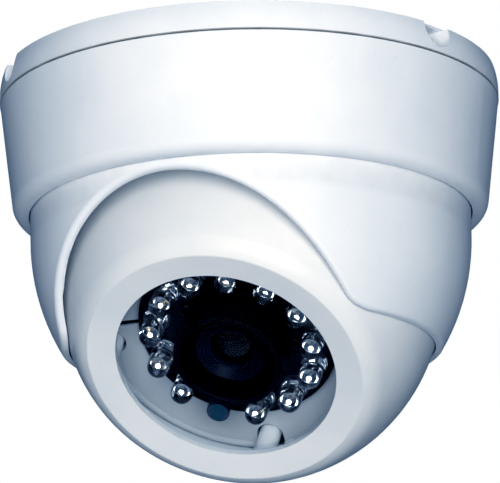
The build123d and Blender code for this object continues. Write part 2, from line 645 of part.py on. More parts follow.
rear_inner = REAR_FLAT + REAR_WALL
leg_spots = [(x * LEG_OFFSET, y * LEG_OFFSET) for x in (1, -1) for y in (1, -1)]
main_board_back = MAIN_BOARD_FRONT - BOARD_THICKNESS
with BuildPart() as ball_rear_shell:
    with BuildSketch(ball_section):
        with BuildLine():
            round_arc(0, BALL_RADIUS, -SEAM_CHAMFER, REAR_FLAT)
            Polyline(
                on_circle(0, BALL_RADIUS, REAR_FLAT),
                (0, REAR_FLAT),
                (0, rear_inner),
                on_circle(0, BALL_INNER, rear_inner),
            )
            round_arc(0, BALL_INNER, rear_inner, 0)
            Polyline(
                (BALL_INNER, 0),
                (BALL_INNER, TONGUE_DEPTH - SLIP_GAP),
                (TONGUE_RADIUS - SLIP_GAP, TONGUE_DEPTH - SLIP_GAP),
                (TONGUE_RADIUS - SLIP_GAP, -SLIP_GAP / 2),
                (BALL_RADIUS - SEAM_CHAMFER, -SLIP_GAP / 2),
                on_circle(0, BALL_RADIUS, -SEAM_CHAMFER),
            )
        make_face()
    revolve(axis=optical_axis)
    # Boss that turns against the yoke
    with BuildSketch(ball_face.offset(REAR_FLAT)):
        Circle(PIVOT_BOSS_RADIUS)
    extrude(amount=YOKE_BACK - REAR_FLAT + SLIP_GAP)
    # Tubes for the shell screws, and bosses that carry the main board
    with BuildSketch(ball_face.offset(rear_inner - MERGE)):
        with Locations(*post_spots):
            Circle(POST_RADIUS + POST_TUBE_WALL)
    extrude(amount=-rear_inner + MERGE - SLIP_GAP / 2)
    with BuildSketch(ball_face.offset(rear_inner - MERGE)):
        with Locations(*leg_spots):
            Circle(LEG_RADIUS)
    extrude(amount=main_board_back - rear_inner + MERGE)
    with BuildSketch(ball_face.offset(REAR_FLAT)):
        with Locations(*post_spots):
            Circle(POST_RADIUS)
    extrude(amount=SHELL_SCREW_SEAT - REAR_FLAT, mode=Mode.SUBTRACT)
    with BuildSketch(ball_face.offset(SHELL_SCREW_SEAT)):
        with Locations(*post_spots):
            Circle(M25_SCREW[2] + RUNNING_GAP)
    extrude(amount=-SHELL_SCREW_SEAT, mode=Mode.SUBTRACT)
    with BuildSketch(ball_face.offset(main_board_back)):
        with Locations(*leg_spots):
            Circle(M25_SCREW[2] + THREAD_GAP)
    extrude(amount=-LEG_PILOT_DEPTH, mode=Mode.SUBTRACT)
    # Pivot hole and cable exit in the back
    with BuildSketch(ball_face.offset(YOKE_BACK)):
        Circle(ROLL_SCREW_RADIUS + RUNNING_GAP)
        with Locations((0, CABLE_EXIT_OFFSET)):
            Circle(CABLE_EXIT_RADIUS)
    extrude(amount=rear_inner - YOKE_BACK + 1, mode=Mode.SUBTRACT)
ball_rear_shell.part.label = "ball_rear_shell"
export_step(ball_rear_shell.part, "parts/ball_rear_shell.step")

with BuildPart() as cable_grommet:
    with BuildSketch(ball_section):
        rectangle_between((GROMMET_BORE_RADIUS, REAR_FLAT), (CABLE_EXIT_RADIUS - THREAD_GAP, rear_inner))
        for inner, outer in ((REAR_FLAT - GROMMET_LIP_THICKNESS, REAR_FLAT),
                             (rear_inner, rear_inner + GROMMET_LIP_THICKNESS)):
            rectangle_between((GROMMET_BORE_RADIUS, inner), (CABLE_EXIT_RADIUS + GROMMET_LIP, outer))
    revolve(axis=optical_axis)
cable_grommet.part.label = "cable_grommet"
cable_grommet.part.position = ball_face.y_dir * CABLE_EXIT_OFFSET
export_step(cable_grommet.part, "parts/cable_grommet.step")

mirrored_post_spots = [(x, -y) for x, y in post_spots]
shell_screws = cross_screws(
    facing_back(SHELL_SCREW_SEAT), mirrored_post_spots, M25_SCREW, SHELL_SCREW_LENGTH
)
shell_screws.part.label = "shell_screws"
export_step(shell_screws.part, "parts/shell_screws.step")

# ---- Window ----
window_flange_top = BEZEL_BACK - GASKET_THICKNESS
window_flange_bottom = window_flange_top - WINDOW_FLANGE_THICKNESS
window_radius = WINDOW_BORE_RADIUS - SLIP_GAP
with BuildPart() as window_gasket:
    with BuildSketch(ball_face.offset(window_flange_top)):
        Circle(WINDOW_FLANGE_RADIUS - SLIP_GAP)
        Circle(GASKET_INNER, mode=Mode.SUBTRACT)
    extrude(amount=GASKET_THICKNESS)
window_gasket.part.label = "window_gasket"
export_step(window_gasket.part, "parts/window_gasket.step")

with BuildPart() as window:
    with BuildSketch(ball_section):
        with BuildLine():
            Polyline(
                (0, WINDOW_FRONT),
                (window_radius - WINDOW_CHAMFER, WINDOW_FRONT),
                (window_radius, WINDOW_FRONT - WINDOW_CHAMFER),
                (window_radius, window_flange_top),
                (WINDOW_FLANGE_RADIUS, window_flange_top),
                (WINDOW_FLANGE_RADIUS, window_flange_bottom),
                (WINDOW_SKIRT_RADIUS, window_flange_bottom),
                (WINDOW_SKIRT_RADIUS, WINDOW_BACK),
                (0, WINDOW_BACK),
                close=True,
            )
        make_face()
    revolve(axis=optical_axis)
window.part.label = "window"
export_step(window.part, "parts/window.step")

# ---- Carrier: holds both boards ----
carrier_back = CARRIER_FRONT - CARRIER_THICKNESS
led_screw_spots = [polar(LED_SCREW_RING, angle) for angle in LED_SCREW_ANGLES]
notch_mouths = [Location(polar(POST_RING + POST_NOTCH_REACH, angle), angle) for angle in POST_ANGLES]
with BuildPart() as lens_carrier:
    with BuildSketch(ball_face.offset(carrier_back)):
        Circle(CARRIER_RADIUS)
        Circle(CARRIER_BORE, mode=Mode.SUBTRACT)
    extrude(amount=CARRIER_THICKNESS)
    with BuildSketch(ball_section):
        with Locations((CARRIER_RADIUS - BEAD_RADIUS, CARRIER_FRONT)):
            Circle(BEAD_RADIUS)
    revolve(axis=optical_axis)
    # Notches that clear the shell posts, and a slit for the lamp wires
    with BuildSketch(ball_face.offset(carrier_back)):
        with Locations(*post_spots):
            Circle(POST_RADIUS + POST_NOTCH_GAP)
        with Locations(*notch_mouths):
            Rectangle(2 * POST_NOTCH_REACH, 2 * (POST_RADIUS + POST_NOTCH_GAP))
        with Locations((-CARRIER_RADIUS + WIRE_SLIT_SPOT[0], WIRE_SLIT_SPOT[1])):
            Rectangle(WIRE_SLIT_LENGTH, WIRE_SLIT_WIDTH)
    extrude(amount=CARRIER_THICKNESS + 2 * BEAD_RADIUS, mode=Mode.SUBTRACT)
    with BuildSketch(ball_face.offset(MAIN_BOARD_FRONT)):
        with Locations(*leg_spots):
            Circle(LEG_RADIUS)
    extrude(amount=CARRIER_FRONT - MAIN_BOARD_FRONT - LEG_INSET)
    with BuildSketch(ball_face.offset(carrier_back - LED_BOSS_DROP)):
        with Locations(*led_screw_spots):
            Circle(LED_BOSS_RADIUS)
    extrude(amount=LED_BOSS_DROP + MERGE)
    with BuildSketch(ball_face.offset(MAIN_BOARD_FRONT)):
        with Locations(*leg_spots):
            Circle(M25_SCREW[2] + RUNNING_GAP)
    extrude(amount=CARRIER_FRONT - MAIN_BOARD_FRONT + 1, mode=Mode.SUBTRACT)
    with BuildSketch(ball_face.offset(CARRIER_FRONT)):
        with Locations(*leg_spots):
            Circle(LEG_SINK_RADIUS)
    extrude(amount=-LEG_SINK, mode=Mode.SUBTRACT)
    with BuildSketch(ball_face.offset(CARRIER_FRONT)):
        with Locations(*led_screw_spots):
            Circle(M2_SMALL_SCREW[2] + THREAD_GAP)
    extrude(amount=-LED_SCREW_LENGTH + MERGE, mode=Mode.SUBTRACT)
lens_carrier.part.label = "lens_carrier"
export_step(lens_carrier.part, "parts/lens_carrier.step")

carrier_screws = cross_screws(
    ball_face.offset(CARRIER_FRONT - LEG_SINK), leg_spots, M25_SCREW, LEG_SCREW_LENGTH
)
carrier_screws.part.label = "carrier_screws"
export_step(carrier_screws.part, "parts/carrier_screws.step")

# ---- Lamp board ----
led_board_front = CARRIER_FRONT + BOARD_THICKNESS
place_angles = [SENSOR_ANGLE + 360 / RING_PLACES * place for place in range(RING_PLACES)]
sensor_spot = polar(LED_RING_RADIUS, place_angles[0])
led_spots = [polar(LED_RING_RADIUS, angle) for angle in place_angles[1:]]
with BuildPart() as led_board:
    with BuildSketch(ball_face.offset(CARRIER_FRONT)):
        Circle(LED_BOARD_RADIUS)
        Circle(LED_BOARD_BORE, mode=Mode.SUBTRACT)
        with Locations(*led_screw_spots):
            Circle(M2_SMALL_SCREW[2] + SLIP_GAP, mode=Mode.SUBTRACT)
    extrude(amount=BOARD_THICKNESS)
led_board.part.label = "led_board"
export_step(led_board.part, "parts/led_board.step")

led_board_screws = cross_screws(
    ball_face.offset(led_board_front), led_screw_spots, M2_SMALL_SCREW, LED_SCREW_LENGTH
)
led_board_screws.part.label = "led_board_screws"
export_step(led_board_screws.part, "parts/led_board_screws.step")

dome_base = led_board_front + LED_HEIGHT - LED_RADIUS
with BuildPart() as ir_leds:
    with BuildSketch(ball_face.offset(led_board_front)):
        with Locations(*led_spots):
            Circle(LED_FLANGE_RADIUS)
    extrude(amount=LED_FLANGE_HEIGHT)
    with BuildSketch(ball_face.offset(led_board_front)):
        with Locations(*led_spots):
            Circle(LED_RADIUS)
    extrude(amount=LED_HEIGHT - LED_RADIUS)
    with Locations(ball_face.offset(dome_base)):
        with Locations(*led_spots):
            Sphere(LED_RADIUS)
ir_leds.part.label = "ir_leds"
export_step(ir_leds.part, "parts/ir_leds.step")

with BuildPart() as light_sensor:
    with BuildSketch(ball_face.offset(SENSOR_FACE - SENSOR_THICKNESS)):
        with Locations(sensor_spot):
            Circle(SENSOR_RADIUS)
    extrude(amount=SENSOR_THICKNESS)
    with BuildSketch(ball_face.offset(led_board_front)):
        with Locations(*((sensor_spot[0] + side * SENSOR_LEG_OFFSET, sensor_spot[1]) for side in (1, -1))):
            Circle(SENSOR_LEG_RADIUS)
    extrude(amount=SENSOR_FACE - SENSOR_THICKNESS - led_board_front + MERGE)
light_sensor.part.label = "light_sensor"
export_step(light_sensor.part, "parts/light_sensor.step")

with BuildPart() as led_resistors:
    with BuildSketch(ball_face.offset(led_board_front)):
        with Locations(*(Location(polar(RESISTOR_RING, angle), angle + 90) for angle in RESISTOR_ANGLES)):
            Rectangle(*RESISTOR_SIZE[:2])
    extrude(amount=RESISTOR_SIZE[2])
led_resistors.part.label = "led_resistors"
export_step(led_resistors.part, "parts/led_resistors.step")

with BuildPart() as lens_hood:
    with BuildSketch(ball_section):
        with BuildLine():
            Polyline(
                (HOOD_FOOT_OUTER, led_board_front),
                (HOOD_FOOT_OUTER, HOOD_FOOT_TOP),
                (HOOD_OUTER, HOOD_TAPER_TOP),
                (HOOD_OUTER, HOOD_FRONT),
                (HOOD_INNER, HOOD_FRONT),
                (HOOD_INNER, HOOD_TAPER_TOP),
                (HOOD_FOOT_INNER, HOOD_FOOT_TOP),
                (HOOD_FOOT_INNER, led_board_front),
                close=True,
            )
        make_face()
    revolve(axis=optical_axis)
    mouth = lens_hood.edges().filter_by(GeomType.CIRCLE).group_by(Axis(ball_face.origin, ball_face.z_dir))[-1]
    fillet(mouth, HOOD_ROUNDING)
lens_hood.part.label = "lens_hood"
export_step(lens_hood.part, "parts/lens_hood.step")

# ---- Main board, image sensor and lens holder ----
with BuildPart() as main_board:
    with BuildSketch(ball_face.offset(main_board_back)):
        RectangleRounded(MAIN_BOARD_SIDE, MAIN_BOARD_SIDE, MAIN_BOARD_CORNER)
        with Locations(*leg_spots):
            Circle(M25_SCREW[2] + RUNNING_GAP, mode=Mode.SUBTRACT)
        with Locations(*HOLDER_SCREW_SPOTS):
            Circle(M2_PAN_SCREW[2] + RUNNING_GAP, mode=Mode.SUBTRACT)
    extrude(amount=BOARD_THICKNESS)
main_board.part.label = "main_board"
export_step(main_board.part, "parts/main_board.step")

filter_seat = MAIN_BOARD_FRONT + IMAGE_SENSOR_SIZE[2]
with BuildPart() as image_sensor:
    with BuildSketch(ball_face.offset(MAIN_BOARD_FRONT)):
        Rectangle(*IMAGE_SENSOR_SIZE[:2])
    extrude(amount=IMAGE_SENSOR_SIZE[2])
    with BuildSketch(ball_face.offset(filter_seat)):
        Rectangle(*IMAGE_AREA_SIZE[:2])
    extrude(amount=-IMAGE_AREA_SIZE[2], mode=Mode.SUBTRACT)
image_sensor.part.label = "image_sensor"
export_step(image_sensor.part, "parts/image_sensor.step")

with BuildPart() as lens_holder:
    with BuildSketch(ball_face.offset(MAIN_BOARD_FRONT)):
        RectangleRounded(HOLDER_SIDE, HOLDER_SIDE, HOLDER_CORNER)
        with Locations(*HOLDER_SCREW_SPOTS):
            Circle(HOLDER_SCREW_BOSS)
    extrude(amount=HOLDER_BASE_TOP - MAIN_BOARD_FRONT)
    with BuildSketch(ball_face.offset(HOLDER_BASE_TOP)):
        Circle(HOLDER_RADIUS)
    extrude(amount=HOLDER_TOP - HOLDER_BASE_TOP)
    with BuildSketch(ball_face.offset(MAIN_BOARD_FRONT)):
        Rectangle(HOLDER_POCKET, HOLDER_POCKET)
    extrude(amount=HOLDER_BASE_TOP - MAIN_BOARD_FRONT - HOLDER_ROOF, mode=Mode.SUBTRACT)
    with BuildSketch(ball_face.offset(MAIN_BOARD_FRONT)):
        Circle(LENS_THREAD_RADIUS + RUNNING_GAP)
    extrude(amount=HOLDER_TOP - MAIN_BOARD_FRONT, mode=Mode.SUBTRACT)
    with BuildSketch(ball_face.offset(MAIN_BOARD_FRONT)):
        with Locations(*HOLDER_SCREW_SPOTS):
            Circle(M2_PAN_SCREW[2] + THREAD_GAP)
    extrude(amount=HOLDER_SCREW_LENGTH - BOARD_THICKNESS + 0.2, mode=Mode.SUBTRACT)
lens_holder.part.label = "lens_holder"
export_step(lens_holder.part, "parts/lens_holder.step")

behind_board = facing_back(main_board_back)
lens_holder_screws = cross_screws(behind_board, HOLDER_SCREW_SPOTS, M2_PAN_SCREW, HOLDER_SCREW_LENGTH)
lens_holder_screws.part.label = "lens_holder_screws"
export_step(lens_holder_screws.part, "parts/lens_holder_screws.step")

with BuildPart() as infrared_filter:
    with BuildSketch(ball_face.offset(filter_seat)):
        Rectangle(*FILTER_SIZE[:2])
    extrude(amount=FILTER_SIZE[2])
infrared_filter.part.label = "infrared_filter"
export_step(infrared_filter.part, "parts/infrared_filter.step")

with BuildPart() as processor_chip:
    with BuildSketch(behind_board):
        Rectangle(*PROCESSOR_SIZE[:2])
    extrude(amount=PROCESSOR_SIZE[2])
    chip_face = processor_chip.faces().sort_by(Axis(behind_board.origin, behind_board.z_dir))[-1]
    chamfer(chip_face.edges(), PROCESSOR_CHAMFER)
processor_chip.part.label = "processor_chip"
export_step(processor_chip.part, "parts/processor_chip.step")

with BuildPart() as board_capacitors:
    with BuildSketch(behind_board):
        with Locations(*CAPACITOR_SPOTS):
            Circle(CAPACITOR_RADIUS)
    extrude(amount=CAPACITOR_HEIGHT)
board_capacitors.part.label = "board_capacitors"
export_step(board_capacitors.part, "parts/board_capacitors.step")

connector_width, connector_depth, connector_height = CONNECTOR_SIZE
with BuildPart() as signal_connector:
    with BuildSketch(behind_board):
        with Locations((CONNECTOR_SPOT, 0)):
            Rectangle(connector_width, connector_depth)
    extrude(amount=connector_height)
    with BuildSketch(behind_board.offset(connector_height)):
        with Locations((CONNECTOR_SPOT, 0)):
            Rectangle(connector_width - 2 * CONNECTOR_WALL, connector_depth - 2 * CONNECTOR_WALL)
    extrude(amount=CONNECTOR_FLOOR - connector_height, mode=Mode.SUBTRACT)
    with BuildSketch(behind_board.offset(CONNECTOR_FLOOR / 2)):
        with Locations(*((CONNECTOR_SPOT, y) for y in PIN_SPOTS)):
            Rectangle(PIN_SIDE, PIN_SIDE)
    extrude(amount=PIN_LENGTH)
signal_connector.part.label = "signal_connector"
export_step(signal_connector.part, "parts/signal_connector.step")

# ---- Lens: turns in its holder to focus ----
glass_seat = GLASS_EDGE - GLASS_SEAT_DEPTH
with BuildPart() as lens_barrel:
    with BuildSketch(ball_section):
        with BuildLine():
            Polyline(
                (LENS_HEAD_RADIUS, LENS_FRONT),
                (GLASS_RADIUS + DISH_STEP[0], GLASS_EDGE + DISH_STEP[1]),
                (GLASS_RADIUS + THREAD_GAP, GLASS_EDGE + SEAT_RIM),
                (GLASS_RADIUS + THREAD_GAP, glass_seat),
                (LENS_BORE, glass_seat),
                (LENS_BORE, LENS_BACK + REAR_LENS_SEAT),
                (REAR_LENS_RADIUS, LENS_BACK + REAR_LENS_SEAT),
                (REAR_LENS_RADIUS, LENS_BACK),
                (LENS_THREAD_RADIUS, LENS_BACK),
                (LENS_THREAD_RADIUS, LENS_HEAD_BACK),
                (LENS_HEAD_RADIUS, LENS_HEAD_BACK),
                close=True,
            )
        make_face()
    revolve(axis=optical_axis)
    nose = lens_barrel.edges().filter_by(GeomType.CIRCLE).filter_by(
        lambda e: abs(e.radius - LENS_HEAD_RADIUS) < 0.01
    )
    fillet(nose, LENS_NOSE_ROUNDING)
lens_barrel.part.label = "lens_barrel"
export_step(lens_barrel.part, "parts/lens_barrel.step")

glass_rim = (GLASS_RADIUS, GLASS_EDGE + GLASS_RIM)
glass_top = (0, GLASS_EDGE + GLASS_CROWN)
with BuildPart() as front_lens:
    with BuildSketch(ball_section):
        with BuildLine():
            ThreePointArc(glass_top, (GLASS_HALFWAY[0], GLASS_EDGE + GLASS_HALFWAY[1]), glass_rim)
            Polyline(glass_rim, (GLASS_RADIUS, glass_seat), (0, glass_seat), glass_top)
        make_face()
    revolve(axis=optical_axis)
front_lens.part.label = "front_lens"
export_step(front_lens.part, "parts/front_lens.step")

with BuildPart() as rear_lens:
    with BuildSketch(ball_face.offset(LENS_BACK + REAR_LENS_SEAT - REAR_LENS_THICKNESS - SLIP_GAP)):
        Circle(REAR_LENS_RADIUS - THREAD_GAP)
    extrude(amount=REAR_LENS_THICKNESS)
rear_lens.part.label = "rear_lens"
export_step(rear_lens.part, "parts/rear_lens.step")

with BuildPart() as lens_lock_ring:
    with BuildSketch(ball_face.offset(HOLDER_TOP + SLIP_GAP)):
        Circle(HOLDER_RADIUS)
        Circle(LENS_THREAD_RADIUS + THREAD_GAP, mode=Mode.SUBTRACT)
        with PolarLocations(HOLDER_RADIUS, LOCK_RING_NOTCHES):
            Circle(LOCK_RING_NOTCH_RADIUS, mode=Mode.SUBTRACT)
    extrude(amount=LOCK_RING_THICKNESS)
lens_lock_ring.part.label = "lens_lock_ring"
export_step(lens_lock_ring.part, "parts/lens_lock_ring.step")
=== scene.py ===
import bmesh
import bpy
import itertools
import math
import random
from mathutils import Matrix, Vector


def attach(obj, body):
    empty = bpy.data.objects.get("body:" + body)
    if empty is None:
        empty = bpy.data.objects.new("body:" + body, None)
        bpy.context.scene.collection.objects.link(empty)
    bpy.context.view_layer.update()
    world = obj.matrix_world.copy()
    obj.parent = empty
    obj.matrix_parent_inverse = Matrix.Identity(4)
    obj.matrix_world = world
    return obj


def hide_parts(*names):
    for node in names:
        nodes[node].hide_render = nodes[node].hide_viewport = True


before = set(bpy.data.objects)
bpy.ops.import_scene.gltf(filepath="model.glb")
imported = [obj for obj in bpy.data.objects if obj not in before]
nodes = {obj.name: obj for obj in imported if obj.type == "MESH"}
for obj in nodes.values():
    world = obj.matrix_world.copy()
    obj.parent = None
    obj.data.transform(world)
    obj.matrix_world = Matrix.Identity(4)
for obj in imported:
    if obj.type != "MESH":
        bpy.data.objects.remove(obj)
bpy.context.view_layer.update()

# ---- Where things are. Millimetres in the ball's own frame, metres in the row frame ----
MM = 0.001
REST_TILT = math.radians(51.5)
BALL_CENTRE = Vector((0, 0, -0.0498))
AXIS = Vector((0, -math.cos(REST_TILT), -math.sin(REST_TILT)))
FACE_X = Vector((1, 0, 0))
FACE_Y = AXIS.cross(FACE_X)
BALL_FRAME = Matrix.Translation(BALL_CENTRE) @ Matrix(
    [[FACE_X[i], FACE_Y[i], AXIS[i]] for i in range(3)]
).to_4x4() @ Matrix.Scale(MM, 4)

BOARD_FRONT = 14.0
LED_RING_RADIUS = 18.0
RING_PLACES = 13
SENSOR_ANGLE = -117
SENSOR_FACE = 20.8
SEAM_HEIGHT = -0.00705


# ---- Node helpers ----
class Nodes:
    """A material's node tree with short calls for what the materials here share."""

    def __init__(self, name):
        self.material = bpy.data.materials.new(name)
        self.material.use_nodes = True
        self.tree = self.material.node_tree
        self.tree.nodes.clear()
        self.out = self.tree.nodes.new("ShaderNodeOutputMaterial")
        self.place = self.tree.nodes.new("ShaderNodeTexCoord").outputs["Object"]

    def add(self, kind, _settings=None, **inputs):
        node = self.tree.nodes.new(kind)
        for key, value in (_settings or {}).items():
            setattr(node, key, value)
        for key, value in inputs.items():
            self.feed(node.inputs[key.replace("_", " ")], value)
        return node

    def feed(self, socket, value):
        if isinstance(value, bpy.types.NodeSocket):
            self.tree.links.new(value, socket)
        else:
            socket.default_value = value

    def maths(self, operation, a, b=None, c=None):
        node = self.tree.nodes.new("ShaderNodeMath")
        node.operation = operation
        for socket, value in zip(node.inputs, (a, b, c)):
            if value is not None:
                self.feed(socket, value)
        return node.outputs[0]

    def vector(self, operation, a, b=None, output="Vector"):
        node = self.tree.nodes.new("ShaderNodeVectorMath")
        node.operation = operation
        for socket, value in zip(node.inputs, (a, b)):
            if value is not None:
                self.feed(socket, value)
        return node.outputs[output]

    def noise(self, scale, detail=3.0, roughness=0.5, vector=None):
        node = self.add("ShaderNodeTexNoise", Scale=scale, Detail=detail, Roughness=roughness)
        self.feed(node.inputs["Vector"], vector or self.place)
        return node.outputs["Fac"]

    def span(self, value, low, high, start=0.0, end=1.0):
        """Maps low..high to start..end, held at the ends."""
        node = self.add("ShaderNodeMapRange", Value=value)
        for socket, number in zip(("From Min", "From Max", "To Min", "To Max"), (low, high, start, end)):
            node.inputs[socket].default_value = number
        return node.outputs["Result"]

    def blend(self, share, a, b):
        node = self.tree.nodes.new("ShaderNodeMix")
        node.data_type = "RGBA"
        for socket, value in zip((node.inputs[0], node.inputs[6], node.inputs[7]), (share, a, b)):
            self.feed(socket, value)
        return node.outputs[2]

    def bump(self, height, strength, distance, under=None):
        node = self.add("ShaderNodeBump", Strength=strength, Distance=distance, Height=height)
        if under is not None:
            self.feed(node.inputs["Normal"], under)
        return node.outputs["Normal"]

    def axis_distance(self):
        """Distance from the optical axis, in metres."""
        out = self.vector("SUBTRACT", self.place, tuple(BALL_CENTRE))
        height = self.vector("DOT_PRODUCT", out, tuple(AXIS), "Value")
        length = self.vector("LENGTH", out, output="Value")
        length_squared = self.maths("POWER", length, 2.0)
        square = self.maths("SUBTRACT", length_squared, self.maths("POWER", height, 2.0))
        return self.maths("SQRT", self.maths("MAXIMUM", square, 0.0))

    def split(self, value, axis):
        """One axis of a vector."""
        return self.add("ShaderNodeSeparateXYZ", Vector=value).outputs[axis]

    def mix(self, share, first, second):
        """Two surfaces in one, with this share of the second."""
        node = self.add("ShaderNodeMixShader")
        for socket, value in zip(node.inputs, (share, first, second)):
            self.feed(socket, value)
        return node.outputs[0]

    def finish(self, surface):
        self.feed(self.out.inputs["Surface"], surface)

    def shade(self, **inputs):
        self.finish(self.add("ShaderNodeBsdfPrincipled", **inputs).outputs[0])


def tinted(colour, tint):
    """The colour times a share for each of red, green and blue."""
    return tuple(c * share for c, share in zip(colour, tint)) + (1,)


def scaled(colour, factor):
    """The colour, this many times as bright."""
    return tinted(colour, (factor, factor, factor))


def grey(value):
    return (value, value, value, 1)


# Marks on moulded parts: flow waves, dust, dirt and painted shade in hollow corners, wear, and a line of
# painted shade beside a seam, its reach in metres
FLOW_TINT = (0.93605, 0.950525, 0.965)
DUST_SPECK = (0.55, 0.528, 0.484, 1)
CORNER_DIRT_AND_SHADE = (0.34, 0.3162, 0.2788, 1)
SEAM_SHADE = (0.34, 0.31, 0.25, 1)
SPECK_SHARE = 0.22
CORNER_DIRT_AND_SHADE_SHARE = 0.25
WEAR_SHARE = 0.35
SEAM_SHADE_REACH = 0.00032
SEAM_SHADE_CORE = 0.00018


def moulded(name, colour, roughness=0.36, grain=0.35, seam=None):
    """Injection moulded plastic: fine spark-eroded grain, faint flow waves, dirt and painted shade in
    hollow corners, wear on edges.
    seam is the height of a joint beside which a dark line of painted shade is laid."""
    n = Nodes(name)
    light = scaled(colour, 1.02)
    base = n.blend(n.span(n.noise(38.0, 4.0, 0.6), 0.35, 0.68), light, tinted(colour, FLOW_TINT))
    base = n.blend(n.span(n.noise(900.0, 2.0, 0.7), 0.66, 0.78, 0.0, SPECK_SHARE), base, DUST_SPECK)
    # Hollow corners found by pointiness go darker in patches, in a dirt colour: dirt, and painted shade
    # where shade falls.
    sharpness = n.add("ShaderNodeNewGeometry").outputs["Pointiness"]
    patches = n.span(n.noise(260.0, 3.0), 0.3, 0.7, 0.35, 1.0)
    corner_dirt_and_shade = n.maths("MULTIPLY", n.span(sharpness, 0.497, 0.44), patches)
    base = n.blend(n.maths("MULTIPLY", corner_dirt_and_shade, CORNER_DIRT_AND_SHADE_SHARE), base, CORNER_DIRT_AND_SHADE)
    edge = n.maths("MULTIPLY", n.span(sharpness, 0.53, 0.62), n.span(n.noise(420.0, 3.0), 0.45, 0.6))
    base = n.blend(n.maths("MULTIPLY", edge, WEAR_SHARE), base, light)
    # Painted shade: a dark warm line along the seam's height.
    if seam is not None:
        away = n.maths("ABSOLUTE", n.maths("SUBTRACT", n.split(n.place, "Z"), seam))
        uneven = n.span(n.noise(150.0, 3.0), 0.3, 0.6, 0.7, 1.0)
        film = n.maths("MULTIPLY", n.span(away, SEAM_SHADE_REACH, SEAM_SHADE_CORE), uneven)
        base = n.blend(film, base, SEAM_SHADE)
    gloss = n.span(n.noise(120.0, 3.0), 0.3, 0.7, roughness - 0.05, roughness + 0.06)
    gloss = n.maths("SUBTRACT", gloss, n.maths("MULTIPLY", edge, 0.1))
    normal = n.bump(n.noise(55.0, 2.0), 0.12, 0.0006)
    normal = n.bump(n.noise(4200.0, 2.0, 0.6), grain, 0.00002, normal)
    n.shade(Base_Color=base, Roughness=gloss, Normal=normal, IOR=1.5)
    return n.material


def rubber(name, colour, roughness=0.62, sheen=0.5):
    """Soft black or grey rubber: uneven sheen and a little dust."""
    n = Nodes(name)
    dust = n.span(n.noise(700.0, 4.0, 0.65), 0.62, 0.78, 0.0, 0.02)
    base = n.blend(n.span(n.noise(90.0), 0.3, 0.7), colour, scaled(colour, 1.5))
    base = n.blend(dust, base, grey(0.16))
    gloss = n.span(n.noise(300.0), 0.3, 0.7, roughness - 0.08, roughness + 0.08)
    normal = n.bump(n.noise(1100.0, 3.0, 0.6), 0.12, 0.00004)
    n.shade(Base_Color=base, Roughness=gloss, Normal=normal, IOR=1.45, Specular_IOR_Level=sheen)
    return n.material


def metal(name, colour, roughness=0.28, scratch=0.25):
    """Rolled or plated metal with fine scratches and a slight stain."""
    n = Nodes(name)
    stretched = n.add("ShaderNodeMapping", Scale=(1.0, 0.12, 1.0))
    n.feed(stretched.inputs["Vector"], n.place)
    lines = n.noise(5200.0, 2.0, 0.7, vector=stretched.outputs[0])
    stain = n.span(n.noise(260.0, 4.0, 0.6), 0.42, 0.7)
    base = n.blend(n.maths("MULTIPLY", stain, 0.5), colour, scaled(colour, 0.62))
    n.shade(Base_Color=base, Metallic=1.0, Normal=n.bump(lines, scratch, 0.00002),
            Roughness=n.span(stain, 0.0, 1.0, roughness, roughness + 0.16))
    return n.material


def board(name, colour, sheen=0.5):
    """Solder mask over copper: faint weave, pinholes and a slightly uneven gloss."""
    n = Nodes(name)
    weave = n.add("ShaderNodeTexVoronoi", {"feature": "F1", "distance": "CHEBYCHEV"}, Scale=1500.0)
    n.feed(weave.inputs["Vector"], n.place)
    pour = n.span(n.noise(170.0, 1.0), 0.48, 0.52)
    gloss = n.span(n.noise(420.0), 0.3, 0.7, 0.3, 0.44)
    normal = n.bump(weave.outputs["Distance"], 0.12, 0.00003)
    normal = n.bump(pour, 0.3, 0.00003, normal)
    n.shade(Base_Color=n.blend(pour, colour, scaled(colour, 1.7)), Roughness=gloss, Normal=normal, IOR=1.52,
            Specular_IOR_Level=sheen, Coat_Weight=0.15 * sheen, Coat_Roughness=0.2)
    return n.material


def clear(name, tint, roughness, ior, lamp_share=1.0):
    """Solid clear resin or glass. Rays from lamps go straight through, so what is inside is lit."""
    n = Nodes(name)
    gloss = n.span(n.noise(900.0, 3.0), 0.4, 0.75, roughness, roughness + 0.02)
    glass = n.add("ShaderNodeBsdfPrincipled", Base_Color=tint, IOR=ior, Transmission_Weight=1.0,
                  Roughness=gloss, Normal=n.bump(n.noise(420.0, 2.0), 0.06, 0.0001))
    passing = n.add("ShaderNodeBsdfTransparent", Color=scaled(tint, lamp_share))
    from_lamp = n.add("ShaderNodeLightPath").outputs["Is Shadow Ray"]
    n.finish(n.mix(from_lamp, glass.outputs[0], passing.outputs[0]))
    return n.material


# The clear window's reflection, seen square on and at a slant
SQUARE_REFLECTION = 0.006
SLANT_REFLECTION = 0.2


def pane(name, tint, roughness):
    """A thin flat window: what is behind it shows straight, under a faint reflection and fine specks."""
    n = Nodes(name)
    haze = n.span(n.noise(350.0, 4.0, 0.7), 0.66, 0.85, 0.0, 0.002)
    through = n.add("ShaderNodeBsdfTransparent", Color=tint)
    dust = n.add("ShaderNodeBsdfDiffuse", Color=grey(0.7))
    veiled = n.mix(haze, through.outputs[0], dust.outputs[0])
    gloss = n.add("ShaderNodeBsdfGlossy", Color=(1, 1, 1, 1), Roughness=roughness,
                  Normal=n.bump(n.noise(30.0, 1.0), 0.05, 0.0003))
    slant = n.add("ShaderNodeLayerWeight", Blend=0.5).outputs["Facing"]
    share = n.maths("MULTIPLY_ADD", n.maths("POWER", slant, 5.0), SLANT_REFLECTION, SQUARE_REFLECTION)
    n.finish(n.mix(share, veiled, gloss.outputs[0]))
    return n.material


